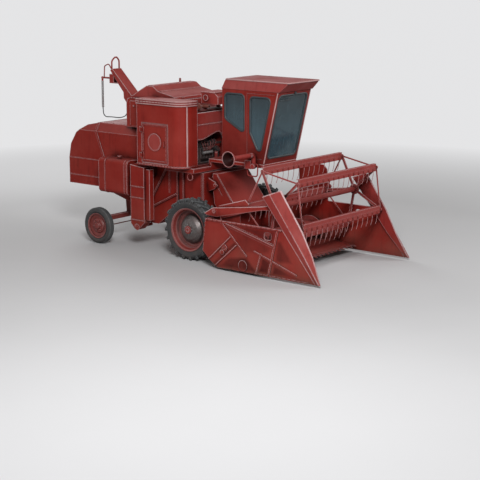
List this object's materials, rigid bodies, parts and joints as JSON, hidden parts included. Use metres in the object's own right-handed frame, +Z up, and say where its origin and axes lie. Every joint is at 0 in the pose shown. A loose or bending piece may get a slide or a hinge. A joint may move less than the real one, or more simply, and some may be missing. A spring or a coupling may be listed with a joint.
{
  "type": "combine harvester",
  "caption": "Self-propelled combine harvester with a grain tank, glazed cab, side radiator box, grain header and pickup reel.",
  "frame": {"origin": "on the ground, under the middle of the machine's length and width", "axes": "+X forward towards the header, +Y to the machine's left, +Z up"},
  "size_m": [8.28, 3.508, 4.3539],
  "materials": {
    "red_paint": "worn gloss red enamel, rubbed pale along the edges",
    "dark_rubber": "dark grey rubber, dusty on the flanks",
    "bare_iron": "grey oily cast iron",
    "bright_steel": "dull bare steel",
    "window": "bluish grey glass",
    "seat_cover": "black vinyl",
    "black_hose": "matt black rubber"
  },
  "bodies": {
    "chassis": {"separator_body": "red_paint", "straw_hood": "red_paint", "grain_tank": "red_paint", "radiator_box": "red_paint", "engine_hood": "red_paint", "engine_block": "bare_iron", "engine_belts": "bright_steel", "muffler": "red_paint", "air_box": "red_paint", "platform": "red_paint", "bell_pipe": "red_paint", "cab_shell": "red_paint", "cab_roof": "red_paint", "cab_glass": "window", "seat": "seat_cover", "steering_column": "black_hose", "fuel_tank": "red_paint", "grain_elevator": "red_paint", "side_struts": "red_paint", "ladder": "red_paint", "main_axle": "red_paint", "steer_axle": "red_paint", "rear_mast": "red_paint", "mast_hose": "black_hose", "hose_spring": "bright_steel", "unloading_elbow": "red_paint"},
    "tank_lid": {"tank_cover": "red_paint"},
    "radiator_door": {"radiator_door": "red_paint"},
    "cab_door": {"cab_door": "red_paint", "door_glass": "window"},
    "drive_wheel_right": {"drive_rim_right": "red_paint", "drive_tyre_right": "dark_rubber"},
    "knuckle_right": {"knuckle_right": "red_paint"},
    "steer_wheel_right": {"steer_rim_right": "red_paint", "steer_tyre_right": "dark_rubber"},
    "drive_wheel_left": {"drive_rim_left": "red_paint", "drive_tyre_left": "dark_rubber"},
    "knuckle_left": {"knuckle_left": "red_paint"},
    "steer_wheel_left": {"steer_rim_left": "red_paint", "steer_tyre_left": "dark_rubber"},
    "tie_rod": {"tie_rod": "red_paint"},
    "header": {"feeder_house": "red_paint", "header_trough": "red_paint", "end_sheet_right": "red_paint", "end_sheet_left": "red_paint", "divider_right": "red_paint", "divider_left": "red_paint", "cutterbar": "bright_steel"},
    "auger": {"header_auger": "red_paint"},
    "reel_arms": {"reel_arms": "red_paint"},
    "reel": {"reel_spider": "red_paint"},
    "bat_1": {"reel_bat_1": "red_paint"},
    "bat_2": {"reel_bat_2": "red_paint"},
    "bat_3": {"reel_bat_3": "red_paint"},
    "bat_4": {"reel_bat_4": "red_paint"},
    "bat_5": {"reel_bat_5": "red_paint"},
    "cylinders": {"lift_cylinders": "red_paint"},
    "rods": {"lift_rods": "bright_steel"},
    "unloading_tube": {"unloading_tube": "red_paint"}
  },
  "joints": [
    {"name": "lid_hinge", "type": "hinge", "parent": "chassis", "child": "tank_lid", "pos_m": [-0.683, 0, 3.48], "axis": [0, 1, 0], "range_deg": [0, 70]},
    {"name": "radiator_door_hinge", "type": "hinge", "parent": "chassis", "child": "radiator_door", "pos_m": [-1.186, -1.357, 2.555], "axis": [0, 0, -1], "range_deg": [0, 100]},
    {"name": "cab_door_hinge", "type": "hinge", "parent": "chassis", "child": "cab_door", "pos_m": [1.22, 0.727, 3], "axis": [0, 0, 1], "range_deg": [0, 90]},
    {"name": "drive_right_spin", "type": "hinge", "parent": "chassis", "child": "drive_wheel_right", "pos_m": [0.26, -1.24, 0.7], "axis": [0, 1, 0], "continuous": true},
    {"name": "drive_left_spin", "type": "hinge", "parent": "chassis", "child": "drive_wheel_left", "pos_m": [0.26, 1.24, 0.7], "axis": [0, 1, 0], "continuous": true},
    {"name": "steer_right", "type": "hinge", "parent": "chassis", "child": "knuckle_right", "pos_m": [-2.63, -1.08, 0.43], "axis": [0, 0, 1], "range_deg": [-35, 35]},
    {"name": "steer_left", "type": "hinge", "parent": "chassis", "child": "knuckle_left", "pos_m": [-2.63, 1.08, 0.43], "axis": [0, 0, 1], "range_deg": [-35, 35]},
    {"name": "rear_right_spin", "type": "hinge", "parent": "knuckle_right", "child": "steer_wheel_right", "pos_m": [-2.63, -1.33, 0.43], "axis": [0, 1, 0], "continuous": true},
    {"name": "rear_left_spin", "type": "hinge", "parent": "knuckle_left", "child": "steer_wheel_left", "pos_m": [-2.63, 1.33, 0.43], "axis": [0, 1, 0], "continuous": true},
    {"name": "tie_rod_pin", "type": "hinge", "parent": "knuckle_right", "child": "tie_rod", "pos_m": [-2.81, -1.08, 0.329], "axis": [0, 0, 1], "range_deg": [-35, 35]},
    {"name": "header_lift", "type": "hinge", "parent": "chassis", "child": "header", "pos_m": [0.38, 0, 1.62], "axis": [0, -1, 0], "range_deg": [0, 15]},
    {"name": "cylinder_swing", "type": "hinge", "parent": "chassis", "child": "cylinders", "pos_m": [0.36, 0, 0.52], "axis": [0, -1, 0], "range_deg": [0, 15.58]},
    {"name": "rod_slide", "type": "slide", "parent": "cylinders", "child": "rods", "axis": [0.9844, 0, -0.1758], "range_m": [0, 0.28813]},
    {"name": "auger_spin", "type": "hinge", "parent": "header", "child": "auger", "pos_m": [1.59, 0, 0.52], "axis": [0, 1, 0], "continuous": true},
    {"name": "reel_lift", "type": "hinge", "parent": "header", "child": "reel_arms", "pos_m": [1.16, 0, 1.25], "axis": [0, -1, 0], "range_deg": [-4, 6]},
    {"name": "reel_spin", "type": "hinge", "parent": "reel_arms", "child": "reel", "pos_m": [2.78, 0, 1.52], "axis": [0, 1, 0], "continuous": true},
    {"name": "bat_1_level", "type": "hinge", "parent": "reel", "child": "bat_1", "pos_m": [3.3656, 0, 2.07961], "axis": [0, 1, 0], "continuous": true},
    {"name": "bat_2_level", "type": "hinge", "parent": "reel", "child": "bat_2", "pos_m": [2.42874, 0, 2.24987], "axis": [0, 1, 0], "continuous": true},
    {"name": "bat_3_level", "type": "hinge", "parent": "reel", "child": "bat_3", "pos_m": [1.9773, 0, 1.41147], "axis": [0, 1, 0], "continuous": true},
    {"name": "bat_4_level", "type": "hinge", "parent": "reel", "child": "bat_4", "pos_m": [2.63517, 0, 0.72305], "axis": [0, 1, 0], "continuous": true},
    {"name": "bat_5_level", "type": "hinge", "parent": "reel", "child": "bat_5", "pos_m": [3.49319, 0, 1.13599], "axis": [0, 1, 0], "continuous": true},
    {"name": "unload_swing", "type": "hinge", "parent": "chassis", "child": "unloading_tube", "pos_m": [-1.39, 1.01, 2.24], "axis": [0, 0, -1], "range_deg": [0, 100]}
  ],
  "couplings": [
    {"joint": "steer_left", "follows": "steer_right", "ratio": 1},
    {"joint": "tie_rod_pin", "follows": "steer_right", "ratio": -1},
    {"joint": "cylinder_swing", "follows": "header_lift", "ratio": 1.0354},
    {"joint": "rod_slide", "follows": "header_lift", "m_per_rad": 1.0968},
    {"joint": "bat_1_level", "follows": "reel_spin", "ratio": -1},
    {"joint": "bat_2_level", "follows": "reel_spin", "ratio": -1},
    {"joint": "bat_3_level", "follows": "reel_spin", "ratio": -1},
    {"joint": "bat_4_level", "follows": "reel_spin", "ratio": -1},
    {"joint": "bat_5_level", "follows": "reel_spin", "ratio": -1}
  ]
}
